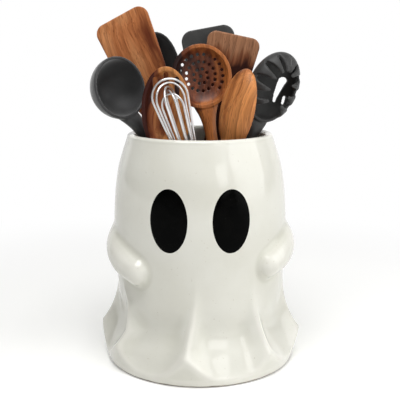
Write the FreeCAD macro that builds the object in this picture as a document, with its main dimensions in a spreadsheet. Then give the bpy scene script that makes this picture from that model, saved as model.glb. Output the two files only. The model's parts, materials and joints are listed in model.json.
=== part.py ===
import FreeCAD, Part
import math
import os
import Sketcher
from FreeCAD import Placement, Rotation, Vector

# A draped utensil crock, open at the top, with ten kitchen utensils standing in it.
# The frame has its origin at the centre of the crock's flat underside, +Z up, front towards -Y.

SIZES = {
    # Crock: a draped cloth form, given by its radii between the pleats at a few heights
    "crock_height": 200,
    "rim_radius": 62.5,
    "shoulder_radius": 72.2,
    "shoulder_height": 167,
    "belly_radius": 76,
    "belly_height": 118,
    "waist_radius": 73.3,
    "waist_height": 62,
    "skirt_radius": 77.3,
    "skirt_height": 25,
    "hem_radius": 88.6,
    "pleat_depth": 24,
    "pleat_height": 90,
    "drum_radius": 83,
    "drum_angle": 15.6,
    "foot_rounding": 1.5,
    "crock_wall": 6.5,
    "floor_thickness": 10,
    "floor_rounding": 5,
    "lip_rounding": 2.6,
    # Arms: two stubby draped arms that point forward
    "arm_thickness": 31,
    "arm_reach": 74,
    "arm_height": 106,
    "arm_drop": 14,
    # Eyes: fields of black glaze, flush with the drape
    "eye_wide": 31,
    "eye_tall": 53,
    "eye_height": 136.5,
    "eye_spacing": 50,
    "eye_depth": 0.8,
    # Fits
    "floor_clearance": 0.3,
    "tenon_clearance": 0.1,
    "wire_clearance": 0.15,
    "overrun": 5,
    "rim_lift": 1.5,
    # Wooden turner
    "wooden_turner_rise": 114,
    "wooden_turner_blade_wide": 51,
    "wooden_turner_blade_long": 78,
    "wooden_turner_shoulder_wide": 40,
    "wooden_turner_neck_long": 30,
    "wooden_turner_neck_wide": 15,
    "wooden_turner_foot_wide": 19,
    "wooden_turner_thick": 7,
    "wooden_turner_tip_thick": 2.4,
    "wooden_turner_skew": 5,
    "wooden_turner_corner": 9,
    # Walnut turner
    "walnut_turner_rise": 80,
    "walnut_turner_blade_wide": 49,
    "walnut_turner_blade_long": 62,
    "walnut_turner_shoulder_wide": 38,
    "walnut_turner_neck_long": 28,
    "walnut_turner_neck_wide": 14,
    "walnut_turner_foot_wide": 17,
    "walnut_turner_thick": 7,
    "walnut_turner_tip_thick": 2.4,
    "walnut_turner_skew": 0.5,
    "walnut_turner_corner": 8,
    # Grey turner: a soft blade with a sleeve over its handle's tenon
    "grey_turner_blade_wide": 50,
    "grey_turner_blade_long": 65,
    "grey_turner_shoulder_wide": 40,
    "grey_turner_neck_long": 24,
    "grey_turner_sleeve_long": 34,
    "grey_turner_sleeve_wide": 14,
    "grey_turner_thick": 12,
    "grey_turner_tip_thick": 2.6,
    "grey_turner_skew": 3,
    "grey_turner_corner": 10,
    "grey_turner_joint_drop": 40,
    # Wooden spoon
    "wooden_spoon_rise": 51,
    "wooden_spoon_bowl_long": 70,
    "wooden_spoon_bowl_wide": 40,
    "wooden_spoon_bowl_deep": 11,
    "wooden_spoon_wall": 3,
    "wooden_spoon_handle_wide": 10,
    "wooden_spoon_handle_thick": 8,
    "wooden_spoon_neck_wide": 17,
    "wooden_spoon_foot_rounding": 2.2,
    # Slotted spoon
    "slotted_spoon_rise": 47,
    "slotted_spoon_bowl_long": 74,
    "slotted_spoon_bowl_wide": 42,
    "slotted_spoon_bowl_deep": 11,
    "slotted_spoon_wall": 3,
    "slotted_spoon_handle_wide": 10,
    "slotted_spoon_handle_thick": 8,
    "slotted_spoon_neck_wide": 18,
    "slotted_spoon_foot_rounding": 2.2,
    "slot_wide": 4,
    "slot_long": 19,
    "slot_spacing": 9,
    "slot_inset": 4.5,
    # Skimmer
    "skimmer_rise": 68,
    "skimmer_bowl_long": 55,
    "skimmer_bowl_wide": 52,
    "skimmer_bowl_deep": 13,
    "skimmer_wall": 3,
    "skimmer_handle_wide": 11,
    "skimmer_handle_thick": 8,
    "skimmer_neck_wide": 24,
    "skimmer_foot_rounding": 2.2,
    "hole_wide": 2.8,
    "hole_ring_step": 6.3,
    # Ladle, pasta server and black spoon: soft heads with sleeves over their handles' tenons
    "ladle_joint_drop": 32,
    "ladle_rise": 68,
    "ladle_bowl_long": 53,
    "ladle_bowl_wide": 53,
    "ladle_bowl_deep": 25,
    "ladle_wall": 2.4,
    "ladle_neck_wide": 22,
    "ladle_bowl_side": -11,
    "pasta_server_joint_drop": 22,
    "pasta_server_rise": 78,
    "pasta_server_bowl_long": 64,
    "pasta_server_bowl_wide": 47,
    "pasta_server_bowl_deep": 17,
    "pasta_server_wall": 2.6,
    "pasta_server_neck_wide": 22,
    "tooth_wide": 11.4,
    "tooth_tip_wide": 4.4,
    "tooth_long": 13,
    "tooth_web": 2.5,
    "drain_slot_wide": 7,
    "drain_slot_foot_wide": 3,
    "drain_slot_long": 24,
    "drain_slot_out": 13.5,
    "small_slot_wide": 2.6,
    "small_slot_long": 8,
    "small_slot_out": 19.3,
    "black_spoon_joint_drop": 22,
    "black_spoon_rise": 80,
    "black_spoon_bowl_long": 66,
    "black_spoon_bowl_wide": 36,
    "black_spoon_bowl_deep": 10,
    "black_spoon_wall": 2.8,
    "black_spoon_neck_wide": 13,
    # Shared by the turned handles and the sleeves on them
    "handle_foot_wide": 9,
    "handle_wide": 11,
    "handle_top_wide": 10,
    "handle_rounding": 2,
    "tenon_wide": 6,
    "tenon_long": 20,
    "sleeve_wide": 11,
    # Whisk
    "whisk_joint_drop": 48,
    "whisk_handle_wide": 12.5,
    "whisk_waist_wide": 11,
    "whisk_rounding": 4,
    "whisk_rise": 46,
    "whisk_wide": 29,
    "whisk_wire_wide": 1.7,
    "whisk_wire_circle": 8.6,
    "whisk_socket_deep": 7,
    "whisk_wire_bend": 14,
    "whisk_loop_step": 2.2,
}

# Lengths that follow the crock, so that the utensils of a taller one still stand out of it
LENGTHS = {}
for name in ("wooden_turner", "walnut_turner", "wooden_spoon", "slotted_spoon", "skimmer", "ladle", "pasta_server",
             "black_spoon", "whisk"):
    LENGTHS[f"{name}_length"] = f"crock_height + {name}_rise"
for name in ("ladle", "pasta_server", "black_spoon", "grey_turner", "whisk"):
    LENGTHS[f"{name}_handle_length"] = f"crock_height - {name}_joint_drop"

# Places around the crock in degrees from the front, positive to the right: middle, height share, half width
PLEATS = (
    (-98, 1.0, 15), (-64, 0.9, 13), (-9, 1.0, 15), (45, 0.95, 13),
    (82, 1.0, 13), (124, 1.0, 15), (166, 1.0, 14), (-143, 1.0, 15),
)
SECTION_POINTS = 48
SECTION_SHARES = (0, 0.03, 0.06, 0.095, 0.135, 0.18, 0.23, 0.285, 0.35, 0.425,
                  0.51, 0.6, 0.69, 0.775, 0.85, 0.91, 0.96, 1)
PLEAT_POWER = 1.8
PLEAT_SHARPNESS = 1.5
# How far in from the rim the lip's rounding starts, so that it meets the drape at an angle
LIP_SHARE = 0.622

# Each arm swings from its shoulder to its tip (degrees from the front)
ARM_SWINGS = {"left": (-118, -45), "right": (118, 49)}
# Along an arm's middle line: share of its swing, of its reach, of its drop and of its thickness
ARM_SHARES = (
    (0, 0.73, -0.14, 0.355), (0.23, 0.811, -0.07, 0.452), (0.44, 0.878, 0.21, 0.5), (0.66, 0.939, 0.39, 0.5),
    (0.85, 0.98, 0.64, 0.468), (1, 1, 0.89, 0.403),
)
# Rings that round an arm's tip, in degrees
TIP_TURNS = (40, 75)

# Where each utensil passes the mouth and meets the floor, as shares of the mouth's radius, and its turn
LEAN_SHARES = {
    "whisk": (-0.259, -0.732, 0.732, -0.679, 0),
    "wooden_spoon": (0.493, -0.464, -0.259, -0.393, 128),
    "slotted_spoon": (-0.5, -0.429, -0.482, -0.384, 0),
    "ladle": (-0.82, -0.16, 0.214, -0.071, 45),
    "skimmer": (0.173, -0.071, 0.75, -0.143, 5),
    "pasta_server": (0.857, 0.196, -0.571, 0.187, 27),
    "wooden_turner": (-0.536, 0.379, 0.857, 0.397, 0),
    "walnut_turner": (0.232, 0.545, -0.518, 0.563, 0),
    "grey_turner": (0.304, 0.757, 0.714, 0.723, 0),
    "black_spoon": (-0.464, 0.757, 0.143, 0.75, 0),
}

# Up a wooden handle: share of its bare length and of its section
STEM_SHARES = ((0.17, 1.03), (0.34, 1.0), (0.51, 0.97), (0.67, 0.95), (0.81, 0.94))
# Up its neck: share of the bowl's length past the handle, of the swelling, of the thickness and of the shift back
NECK_SHARES = ((-0.24, 0.08, 0.93, 0), (-0.08, 0.4, 0.92, 0.1), (0.04, 0.8, 0.9, 0.35), (0.14, 1, 0.85, 0.7),
               (0.22, 1.05, 0.75, 1))

WHISK_LOOPS = 5
HOLE_RINGS = (1, 8, 16, 22)
TEETH = 10
TEETH_ARC = 250
SLOTS = 3

doc = FreeCAD.newDocument("utensil_crock")
sheet = doc.addObject("Spreadsheet::Sheet", "Sizes")
for row, (alias, value) in enumerate([*SIZES.items(), *LENGTHS.items()], start=1):
    sheet.set(f"A{row}", alias)
    sheet.set(f"B{row}", f"={value}")
    sheet.setAlias(f"B{row}", alias)
doc.recompute()

nodes = {}


def size(alias):
    return float(sheet.get(alias))


def linked(expression):
    # Put the sheet's name before each size in an expression
    words = sorted([*SIZES, *LENGTHS], key=len, reverse=True)
    for count, word in enumerate(words):
        expression = expression.replace(word, f"<{count}>")
    for count, word in enumerate(words):
        expression = expression.replace(f"<{count}>", f"Sizes.{word}")
    return expression


def worth(expression):
    return float(sheet.evalExpression(linked(expression)))


def add(kind, name, **sizes):
    made = doc.addObject(kind, name)
    for prop, expression in sizes.items():
        made.setExpression(prop.replace("_at_", "Placement.Base."), linked(expression))
    return made


def joined(kind, name, base, tool):
    made = doc.addObject(kind, name)
    made.Base = base
    made.Tool = tool
    return made


def feature(name, shape):
    made = doc.addObject("Part::Feature", name)
    made.Shape = shape
    return made


def settle():
    doc.recompute()
    for item in doc.Objects:
        if {"Invalid", "Error"} & set(item.State):
            raise RuntimeError(f"{item.Name} failed: {item.State}")


def node(name, made):
    made.Label = name
    nodes[name] = made
    return made


def plane(body, role):
    return next(item for item in body.Origin.OriginFeatures if item.Role == role)


def outline(body, name, role, points):
    # A closed outline of straight sides through points given as pairs of expressions
    sketch = body.newObject("Sketcher::SketchObject", name)
    sketch.AttachmentSupport = (plane(body, role), [""])
    sketch.MapMode = "FlatFace"
    places = [Vector(worth(across), worth(up), 0) for across, up in points]
    count = len(points)
    for side in range(count):
        sketch.addGeometry(Part.LineSegment(places[side], places[(side + 1) % count]), False)
    for side in range(count):
        sketch.addConstraint(Sketcher.Constraint("Coincident", side, 2, (side + 1) % count, 1))
    for side, (across, up) in enumerate(points):
        for kind, expression, place in (("DistanceX", across, places[side].x), ("DistanceY", up, places[side].y)):
            held = sketch.addConstraint(Sketcher.Constraint(kind, -1, 1, side, 1, place))
            sketch.setExpression(f"Constraints[{held}]", linked(expression))
    return sketch


def rounded(body, name, base, edges, expression):
    fillet = body.newObject("PartDesign::Fillet", name)
    fillet.Base = (base, edges)
    fillet.setExpression("Radius", linked(expression))
    body.Tip = fillet
    settle()
    return fillet


# Crock

def drape_radius(height):
    # Radius of the cloth between its pleats: a smooth curve through the named radii
    stations = [(0, size("hem_radius"))]
    for place in ("skirt", "waist", "belly", "shoulder"):
        stations.append((size(f"{place}_height"), size(f"{place}_radius")))
    stations.append((size("crock_height"), size("rim_radius")))
    last = len(stations) - 1
    span = next((k for k in range(last) if height <= stations[k + 1][0]), last - 1)

    def slope(k):
        (low, near), (high, far) = stations[max(k - 1, 0)], stations[min(k + 1, last)]
        return (far - near) / (high - low)

    (low, near), (high, far) = stations[span], stations[span + 1]
    along = (height - low) / (high - low)
    rise = high - low
    start = 2 * along ** 3 - 3 * along ** 2 + 1
    lead = along ** 3 - 2 * along ** 2 + along
    tail = along ** 3 - along ** 2
    return (start * near + (1 - start) * far
            + rise * (lead * slope(span) + tail * slope(span + 1)))


def pleat_radius(azimuth, height):
    rest = max(0, 1 - height / size("pleat_height"))
    folds = 0
    for middle, height_share, half_width in PLEATS:
        away = (azimuth - middle + 180) % 360 - 180
        folds += height_share * math.exp(-abs(away / half_width) ** PLEAT_SHARPNESS)
    return drape_radius(height) + size("pleat_depth") * rest ** PLEAT_POWER * folds


def around(azimuth, radius, height):
    turn = math.radians(azimuth)
    return Vector(radius * math.sin(turn), -radius * math.cos(turn), height)


def drape_section(height):
    curve = Part.BSplineCurve()
    azimuths = [360 * k / SECTION_POINTS for k in range(SECTION_POINTS)]
    curve.interpolate([around(a, pleat_radius(a, height), height) for a in azimuths], PeriodicFlag=True)
    return Part.Wire(curve.toShape())


def ring(radius, place, heading):
    circle = Part.Circle(place, heading, radius)
    circle.XAxis = FreeCAD.Vector(0, 0, 1)
    return Part.Wire(circle.toShape())


def arm_shape(side):
    shoulder, tip = ARM_SWINGS[side]
    places = []
    for swing_share, reach_share, drop_share, _ in ARM_SHARES:
        places.append(around(shoulder + swing_share * (tip - shoulder), reach_share * size("arm_reach"),
                             size("arm_height") - drop_share * size("arm_drop")))
    thick = size("arm_thickness")
    rings = []
    for k, (_, _, _, thick_share) in enumerate(ARM_SHARES):
        heading = places[min(k + 1, len(places) - 1)] - places[max(k - 1, 0)]
        rings.append(ring(thick_share * thick, places[k], heading))
    heading.normalize()
    tip = ARM_SHARES[-1][3] * thick
    for turn in map(math.radians, TIP_TURNS):
        ahead = places[-1] + heading * tip * math.sin(turn)
        rings.append(ring(tip * math.cos(turn), ahead, heading))
    return Part.makeLoft(rings, True, False)


def turned(edges):
    # The solid of revolution of a profile in the XZ plane
    profile = Part.Face(Part.Wire([edge.toShape() for edge in edges]))
    return profile.revolve(Vector(0, 0, 0), Vector(0, 0, 1), 360)


def profile_edges(points):
    # Straight sides through points, and a quarter arc wherever a centre stands between two of them
    edges = []
    for k, point in enumerate(points):
        after = points[(k + 1) % len(points)]
        if isinstance(point, tuple):
            continue
        if isinstance(after, tuple):
            centre, = after
            end = points[(k + 2) % len(points)]
            radius = (point - centre).Length
            middle = (point + end) * 0.5 - centre
            middle.normalize()
            edges.append(Part.Arc(point, centre + middle * radius, end))
        else:
            edges.append(Part.LineSegment(point, after))
    return edges


def at(out, up):
    return Vector(out, 0, up)


crock_height = size("crock_height")
floor = size("floor_thickness")
lip = size("lip_rounding")
mouth = size("rim_radius") - size("crock_wall")


def envelope_shape():
    # A drum that widens upwards and cuts the hem, round at the foot and at the outside of the lip
    foot = size("foot_rounding")
    drum = size("drum_radius")
    wide = drum + math.tan(math.radians(size("drum_angle"))) * (crock_height - lip)
    lip_centre = size("rim_radius") - lip * LIP_SHARE
    return turned(profile_edges([
        at(0, 0), at(drum - foot, 0), (at(drum - foot, foot),), at(drum, foot), at(wide, crock_height - lip),
        at(lip_centre + lip, crock_height - lip), (at(lip_centre, crock_height - lip),),
        at(lip_centre, crock_height), at(0, crock_height),
    ]))


def cavity_shape():
    # A hollow that keeps the wall under the drape, round at the floor's corner and at the inside of the lip
    wall = size("crock_wall")
    corner = size("floor_rounding")
    waist, belly, shoulder = size("waist_height"), size("belly_height"), size("shoulder_height")
    inner = drape_radius(waist) - wall
    upper = drape_radius(shoulder) - wall
    top = crock_height + size("overrun")
    low = profile_edges([at(0, floor), at(inner - corner, floor), (at(inner - corner, floor + corner),),
                         at(inner, floor + corner), at(inner, waist)])[:3]
    belly_arc = Part.Arc(at(inner, waist), at(drape_radius(belly) - wall, belly), at(upper, shoulder))
    high = profile_edges([at(upper, shoulder), at(mouth, crock_height - lip), (at(mouth + lip, crock_height - lip),),
                          at(mouth + lip, crock_height), at(mouth + lip, top), at(0, top), at(0, floor)])[:5]
    return turned(low + [belly_arc] + high)


heights = [share * crock_height for share in SECTION_SHARES] + [crock_height + size("overrun")]
drape = feature("drape", Part.makeLoft([drape_section(height) for height in heights], True, False))
hemmed = joined("Part::Common", "hemmed", drape, feature("envelope", envelope_shape()))
clad = hemmed
for side in ARM_SWINGS:
    clad = joined("Part::Fuse", f"with_{side}_arm", clad, feature(f"{side}_arm", arm_shape(side)))
hollow = joined("Part::Cut", "hollow", clad, feature("cavity", cavity_shape()))
settle()


def fillet_edges(made, wanted, radius):
    return [(k, radius, radius) for k, edge in enumerate(made.Shape.Edges, start=1) if wanted(edge)]


def is_foot(edge):
    return edge.BoundBox.ZMax < size("overrun") * 0.1


# Eyes

def skin_shape():
    # The drape's plain upper form, drawn in by the depth of the eyes
    deep = size("eye_depth")
    low = size("waist_height")
    count = len(SECTION_SHARES)
    levels = [low + (crock_height - low) * k / (count - 1) for k in range(count)]
    rings = [Part.Wire(Part.makeCircle(drape_radius(up) - deep, Vector(0, 0, up))) for up in levels]
    return Part.makeLoft(rings, True, False)


skin = feature("skin", skin_shape())
eyes = []
for name, side in (("left_eye", -1), ("right_eye", 1)):
    oval = Part.Ellipse(Vector(0, 0, 0), size("eye_tall") / 2, size("eye_wide") / 2)
    field = Part.Face(Part.Wire(oval.toShape())).extrude(Vector(0, 0, size("belly_radius") + size("overrun")))
    column = feature(f"{name}_column", field)
    upright = Rotation(Vector(0, 0, 1), Vector(1, 0, 0), Vector(0, -1, 0), "ZXY")
    column.Placement = Placement(Vector(side * size("eye_spacing") / 2, 0, size("eye_height")), upright)
    shaft = joined("Part::Cut", f"{name}_shaft", column, skin)
    eyes.append(node(name, joined("Part::Common", f"{name}_glaze", shaft, drape)))
both_eyes = doc.addObject("Part::Compound", "both_eyes")
both_eyes.Links = eyes
node("crock_body", joined("Part::Cut", "crock_less_eyes", hollow, both_eyes))
settle()


# Wooden handles and necks: lofts through ellipses along the handle

def ellipse_loft(name, sections):
    rings = []
    for k, (up, wide, thick, back, aside) in enumerate(sections):
        rings.append(add("Part::Ellipse", f"{name}_ring_{k}", MajorRadius=wide, MinorRadius=thick,
                         _at_x=aside, _at_y=back, _at_z=up))
    loft = doc.addObject("Part::Loft", name)
    loft.Sections = rings
    loft.Solid = True
    return loft


def bowl_on(name, stem, side="0"):
    # Half an ellipsoid on its stem, hollowed by a half that starts a little in front of the rim
    middle = f"{name}_length - {name}_bowl_long / 2"
    halves = []
    for part, inset, lift in (("outer", "0", "0"), ("inner", f"{name}_wall", "rim_lift")):
        half = add("Part::Ellipsoid", f"{name}_{part}", Radius1=f"{name}_bowl_long / 2 - {inset}",
                   Radius2=f"{name}_bowl_wide / 2 - {inset}", Radius3=f"{name}_bowl_deep - {inset} + {lift}",
                   _at_z=middle, _at_x=side, _at_y=f"-{lift}")
        half.Angle3 = 180
        halves.append(half)
    outer, inner = halves
    made = joined("Part::Cut", f"{name}_open", joined("Part::Fuse", f"{name}_blank", outer, stem), inner)
    settle()
    shell = outer.Shape.Volume - inner.Shape.Volume
    if not shell < made.Shape.Volume < outer.Shape.Volume - inner.Shape.Volume / 2 + stem.Shape.Volume:
        raise RuntimeError(f"{name} came out with a volume of {made.Shape.Volume:.0f}")
    return made


def wooden_bowl(name):
    half_wide = f"{name}_handle_wide / 2"
    half_thick = f"{name}_handle_thick / 2"
    back = f"{name}_handle_thick * 0.45"
    bare = f"({name}_length - {name}_bowl_long)"
    swell = f"{name}_neck_wide"
    sections = [("0", f"{half_wide} * 1.04", f"{half_thick} * 1.02", back, "0")]
    for rise_share, wide_share in STEM_SHARES:
        sections.append((f"{bare} * {rise_share}", f"{half_wide} * {wide_share}",
                         f"{half_thick} * {wide_share}", back, "0"))
    for rise_share, swell_share, thick_share, deep_share in NECK_SHARES:
        sections.append((f"{bare} + {name}_bowl_long * {rise_share}",
                         f"{half_wide} * {1 - swell_share} + {swell} / 2 * {swell_share}",
                         f"{half_thick} * {thick_share}",
                         f"{back} * {1 - deep_share} + {name}_bowl_deep * 0.4 * {deep_share}", "0"))
    stem = ellipse_loft(f"{name}_stem", sections)
    settle()
    handle = doc.addObject("Part::Fillet", f"{name}_soft_foot")
    handle.Base = stem
    handle.Edges = fillet_edges(stem, is_foot, size(f"{name}_foot_rounding"))
    return bowl_on(name, handle)


def slot_shape(wide, long, deep, foot_wide):
    # A slot with round ends, upright, running through from front to back
    half = wide / 2
    low_half = foot_wide / 2
    top = long / 2 - half
    foot = low_half - long / 2
    ends = [Vector(-low_half, 0, foot), Vector(-half, 0, top), Vector(half, 0, top), Vector(low_half, 0, foot)]
    edges = [Part.LineSegment(ends[0], ends[1]), Part.Arc(ends[1], Vector(0, 0, top + half), ends[2]),
             Part.LineSegment(ends[2], ends[3]), Part.Arc(ends[3], Vector(0, 0, foot - low_half), ends[0])]
    return Part.Face(Part.Wire([edge.toShape() for edge in edges])).extrude(Vector(0, deep, 0))


node("wooden_spoon", wooden_bowl("wooden_spoon"))

slots = []
for k in range(SLOTS):
    out = k - (SLOTS - 1) / 2
    slot = slot_shape(size("slot_wide"), size("slot_long"), size("slotted_spoon_bowl_deep") + size("overrun"),
                      size("slot_wide"))
    drop = abs(out) * size("slot_wide")
    slot.translate(Vector(out * size("slot_spacing"), 0, size("slotted_spoon_length") - size("slot_inset")
                          - size("slot_long") / 2 - drop))
    slots.append(slot)
node("slotted_spoon", joined("Part::Cut", "slotted_spoon_cut", wooden_bowl("slotted_spoon"),
                             feature("slotted_spoon_slots", Part.makeCompound(slots))))

holes = []
centre = size("skimmer_length") - size("skimmer_bowl_long") / 2
for ring, count in enumerate(HOLE_RINGS):
    for k in range(count):
        turn = 2 * math.pi * (k + ring / 2) / count
        reach = ring * size("hole_ring_step")
        over_neck = -reach * math.sin(turn) > size("skimmer_bowl_long") / 2 - size("skimmer_neck_wide") / 2
        if over_neck and abs(reach * math.cos(turn)) < size("skimmer_neck_wide") / 2:
            continue
        holes.append(Part.makeCylinder(size("hole_wide") / 2, size("skimmer_bowl_deep") + size("overrun"),
                                       Vector(reach * math.cos(turn), 0, centre + reach * math.sin(turn)),
                                       Vector(0, 1, 0)))
node("skimmer", joined("Part::Cut", "skimmer_cut", wooden_bowl("skimmer"),
                       feature("skimmer_holes", Part.makeCompound(holes))))


# Turners: a flat outline, rounded at its corners and thinned towards the tip

def turner(name, sections, thick):
    # sections go up one side as pairs of half width and height, and the last two are the tip's corners
    body = doc.addObject("PartDesign::Body", f"{name}_body")
    points = [(f"-({wide})", up) for wide, up, _ in reversed(sections)]
    points[0] = (points[0][0], f"{sections[-1][1]} - {name}_skew")
    points += [(wide, up) for wide, up, _ in sections]
    pad = body.newObject("PartDesign::Pad", f"{name}_pad")
    pad.Profile = outline(body, f"{name}_outline", "XZ_Plane", points)
    pad.SideType = "Symmetric"
    pad.setExpression("Length", linked(thick))
    settle()
    tip = sections[-1][1]
    length = worth(tip)
    base = pad
    rounds = [radius for _, _, radius in sections]
    for k, radius in enumerate(rounds):
        across, up = worth(sections[k][0]), worth(sections[k][1])
        edges = []
        for side in (-1, 1):
            level = up - (size(f"{name}_skew") if side < 0 and k == len(rounds) - 1 else 0)
            for count, edge in enumerate(base.Shape.Edges, start=1):
                box = edge.BoundBox
                upright = box.YLength > worth(thick) * 0.5 and box.XLength < size("tenon_clearance")
                near = math.hypot(box.Center.x - side * across, box.Center.z - level) < size("tenon_clearance")
                if upright and near:
                    edges.append(f"Edge{count}")
        base = rounded(body, f"{name}_corner_{k}", base, edges, radius)
    start = f"({tip}) - {name}_blade_long"
    for side in ("", "-"):
        shaving = [(f"{side}({thick}) / 2", start), (f"{side}({thick} / 2 + overrun)", start),
                   (f"{side}({thick} / 2 + overrun)", f"{tip} + overrun"),
                   (f"{side}{name}_tip_thick / 2", f"{tip} + overrun"), (f"{side}{name}_tip_thick / 2", tip)]
        pocket = body.newObject("PartDesign::Pocket", f"{name}_thinned_{len(side)}")
        pocket.Profile = outline(body, f"{name}_wedge_{len(side)}", "YZ_Plane", shaving)
        pocket.Type = "ThroughAll"
        pocket.SideType = "Symmetric"
        settle()
        body.Tip = pocket
    settle()
    return body


for name in ("wooden_turner", "walnut_turner"):
    tip = f"{name}_length"
    shoulder = f"{tip} - {name}_blade_long"
    neck = f"{tip} - {name}_blade_long - {name}_neck_long"
    node(name, turner(name, [
        (f"{name}_foot_wide / 2", "0", f"{name}_foot_wide * 0.42"),
        (f"{name}_neck_wide / 2", neck, f"{name}_neck_long"),
        (f"{name}_shoulder_wide / 2", shoulder, f"{name}_neck_long * 0.6"),
        (f"{name}_blade_wide / 2", tip, f"{name}_corner"),
    ], f"{name}_thick"))


# Turned handles for the soft heads: each has a tenon that the head's sleeve goes over

def turned_handle(name):
    body = doc.addObject("PartDesign::Body", f"{name}_body")
    top = f"{name}_length"
    points = [("0", "0"), ("handle_foot_wide / 2", "0"), ("handle_wide / 2", f"{top} * 0.25"),
              ("handle_top_wide / 2", top), ("tenon_wide / 2", top),
              ("tenon_wide / 2", f"{top} + tenon_long"), ("0", f"{top} + tenon_long")]
    turned = body.newObject("PartDesign::Revolution", f"{name}_turned")
    turned.Profile = outline(body, f"{name}_outline", "XZ_Plane", points)
    turned.ReferenceAxis = (next(item for item in body.Origin.OriginFeatures if item.Role == "Z_Axis"), [""])
    turned.Angle = 360
    body.Tip = turned
    settle()
    edges = [f"Edge{k}" for k, edge in enumerate(turned.Shape.Edges, start=1)
             if edge.BoundBox.ZMax < size("tenon_clearance")]
    rounded(body, f"{name}_foot", turned, edges, "handle_rounding")
    return body


def bore(name):
    return add("Part::Cylinder", f"{name}_bore", Radius="tenon_wide / 2 + tenon_clearance",
               Height="tenon_long + tenon_clearance + overrun", _at_z=f"{name}_handle_length - overrun")


def soft_bowl(name, side="0", extras=None):
    start = f"{name}_handle_length"
    rise = f"({name}_length - {name}_bowl_long - {name}_handle_length)"
    rim = f"{name}_length - {name}_bowl_long"
    sections = [
        (start, "sleeve_wide / 2", "sleeve_wide / 2", "0", "0"),
        (f"{start} + {rise} * 0.3", "sleeve_wide * 0.5", "sleeve_wide * 0.5", "0", "0"),
        (f"{start} + {rise} * 0.65", "sleeve_wide * 0.5", "sleeve_wide * 0.46", f"{name}_bowl_deep * 0.05",
         f"({side}) * 0.25"),
        (rim, f"{name}_neck_wide * 0.46", "sleeve_wide * 0.38", f"{name}_bowl_deep * 0.16", f"({side}) * 0.75"),
        (f"{rim} + {name}_bowl_long * 0.14", f"{name}_neck_wide * 0.52", "sleeve_wide * 0.32",
         f"{name}_bowl_deep * 0.36", side),
        (f"{rim} + {name}_bowl_long * 0.3", f"{name}_neck_wide * 0.4", f"{name}_wall",
         f"{name}_bowl_deep * 0.7", side),
    ]
    made = bowl_on(name, ellipse_loft(f"{name}_sleeve", sections), side)
    for extra_kind, tool in extras or ():
        made = joined(extra_kind, f"{name}_{tool.Name}", made, tool)
    return joined("Part::Cut", f"{name}_bored", made, bore(name))


def tooth_shape(turn):
    # A tapered tooth with a round tip, cut through the rim from the inside
    name = "pasta_server"
    inset = size(f"{name}_wall") / 2
    across = size(f"{name}_bowl_wide") / 2 - inset
    along = size(f"{name}_bowl_long") / 2 - inset
    out = Vector(math.cos(turn) / across, 0, math.sin(turn) / along)
    out.normalize()
    beside = Vector(-out.z, 0, out.x)
    root = Vector(across * math.cos(turn), 0, along * math.sin(turn)) - out * across * 0.6

    def at_tooth(aside, forward):
        return root + beside * aside - Vector(0, forward, 0)

    wide, tip = size("tooth_wide") / 2, size("tooth_tip_wide") / 2
    long = size("tooth_long")
    corners = [at_tooth(-wide, 0), at_tooth(-wide, size("tooth_web")), at_tooth(-tip, long - tip),
               at_tooth(tip, long - tip), at_tooth(wide, size("tooth_web")), at_tooth(wide, 0)]
    edges = [Part.LineSegment(corners[0], corners[1]), Part.LineSegment(corners[1], corners[2]),
             Part.Arc(corners[2], at_tooth(0, long), corners[3]), Part.LineSegment(corners[3], corners[4]),
             Part.LineSegment(corners[4], corners[5]), Part.LineSegment(corners[5], corners[0])]
    return Part.Face(Part.Wire([edge.toShape() for edge in edges])).extrude(out * across)


def server_extras():
    # The rim goes on past its widest line and ends in teeth that curl in over the bowl
    name = "pasta_server"
    centre = size(f"{name}_length") - size(f"{name}_bowl_long") / 2
    halves = []
    for part, inset in (("front", "0"), ("front_hollow", f"{name}_wall")):
        half = add("Part::Ellipsoid", f"{name}_{part}", Radius1=f"{name}_bowl_long / 2 - {inset}",
                   Radius2=f"{name}_bowl_wide / 2 - {inset}", Radius3=f"{name}_bowl_deep - {inset}",
                   _at_z=f"{name}_length - {name}_bowl_long / 2")
        half.Angle3 = 180
        half.Placement.Rotation = Rotation(Vector(0, 0, 1), 180)
        halves.append(half)
    reach = size(f"{name}_bowl_long")
    web = Part.makeBox(2 * reach, size("tooth_web"), 2 * reach, Vector(-reach, -size("tooth_web"), -reach))
    first = -90 + (360 - TEETH_ARC) / 2
    turns = [math.radians(first + TEETH_ARC * k / (TEETH - 1)) for k in range(TEETH)]
    blank = web.multiFuse([tooth_shape(turn) for turn in turns])
    blank.translate(Vector(0, 0, centre))
    front = joined("Part::Cut", f"{name}_front_shell", halves[0], halves[1])
    teeth = joined("Part::Common", f"{name}_teeth", front, feature("teeth_blank", blank))
    deep = size(f"{name}_bowl_deep") + size("overrun")
    slots = []
    for side in (-1, 1):
        drain = slot_shape(size("drain_slot_wide"), size("drain_slot_long"), deep, size("drain_slot_foot_wide"))
        small = slot_shape(size("small_slot_wide"), size("small_slot_long"), deep, size("small_slot_wide"))
        drain.translate(Vector(side * size("drain_slot_out"), 0, centre))
        small.translate(Vector(side * size("small_slot_out"), 0, centre - size("drain_slot_wide")))
        slots += [drain, small]
    return [("Part::Fuse", teeth), ("Part::Cut", feature("drain_slots", Part.makeCompound(slots)))]


node("ladle_head", soft_bowl("ladle", "ladle_bowl_side"))
node("pasta_server_head", soft_bowl("pasta_server", "0", server_extras()))
node("black_spoon_head", soft_bowl("black_spoon"))
for name in ("ladle", "pasta_server", "black_spoon", "grey_turner"):
    node(f"{name}_handle", turned_handle(f"{name}_handle"))

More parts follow.
